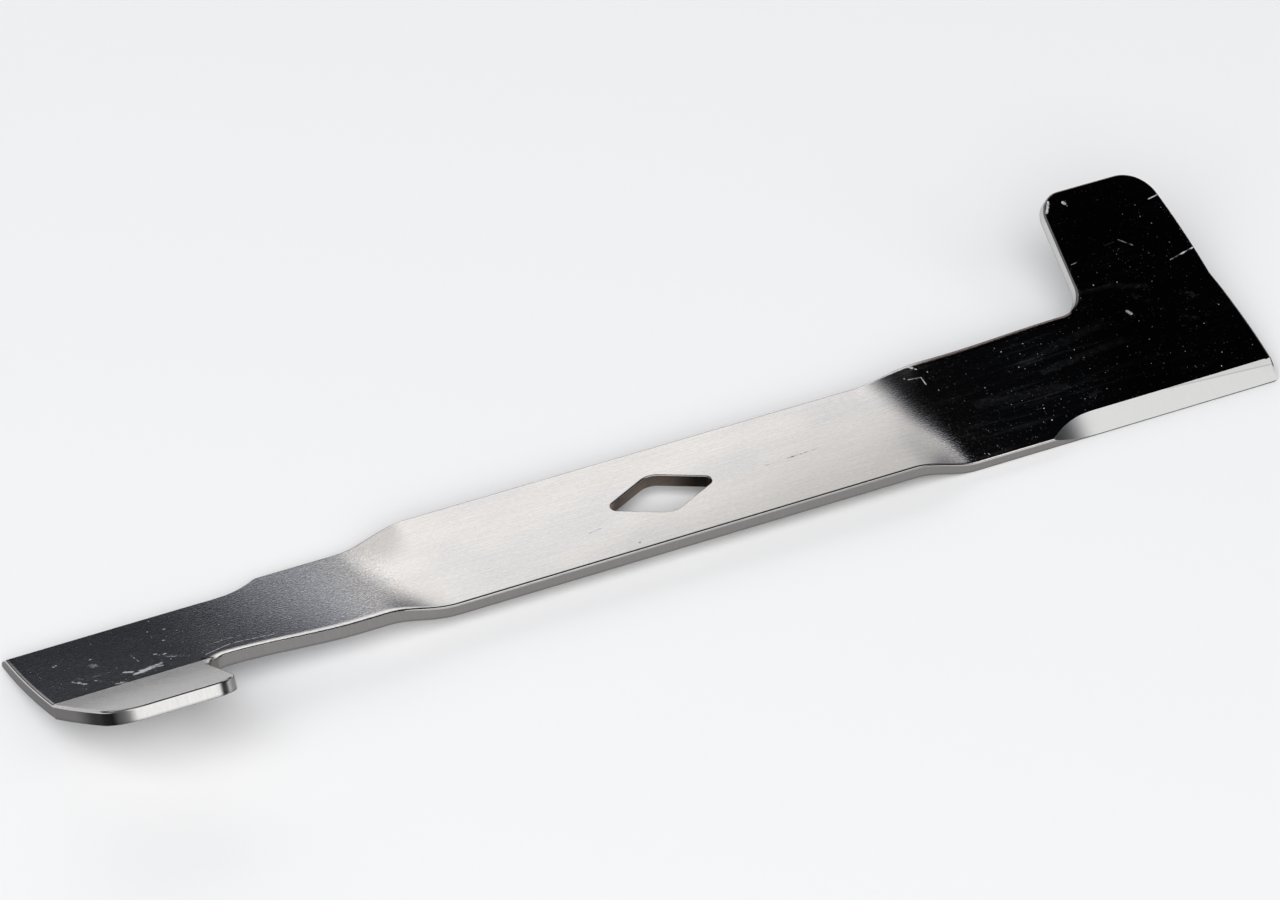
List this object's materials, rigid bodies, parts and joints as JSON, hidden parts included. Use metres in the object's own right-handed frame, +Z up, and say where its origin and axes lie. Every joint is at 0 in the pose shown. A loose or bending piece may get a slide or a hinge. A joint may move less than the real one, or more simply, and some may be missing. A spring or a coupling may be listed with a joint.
{
  "type": "rotary mower blade",
  "caption": "Straight steel mower blade with a flat middle, a diamond mounting hole, twisted arms, ground cutting edges and wings bent up behind them.",
  "frame": {"origin": "centre of the diamond hole on the top face, which seats against the spindle", "axes": "+X along the blade towards the tip whose cutting edge is at -Y, +Z up, the way the wings point and the spindle leaves"},
  "size_m": [0.474, 0.1302, 0.0427],
  "materials": {
    "steel": "satin rolled steel, bright where it is ground"
  },
  "bodies": {
    "root": {"blade": "steel"}
  },
  "joints": []
}
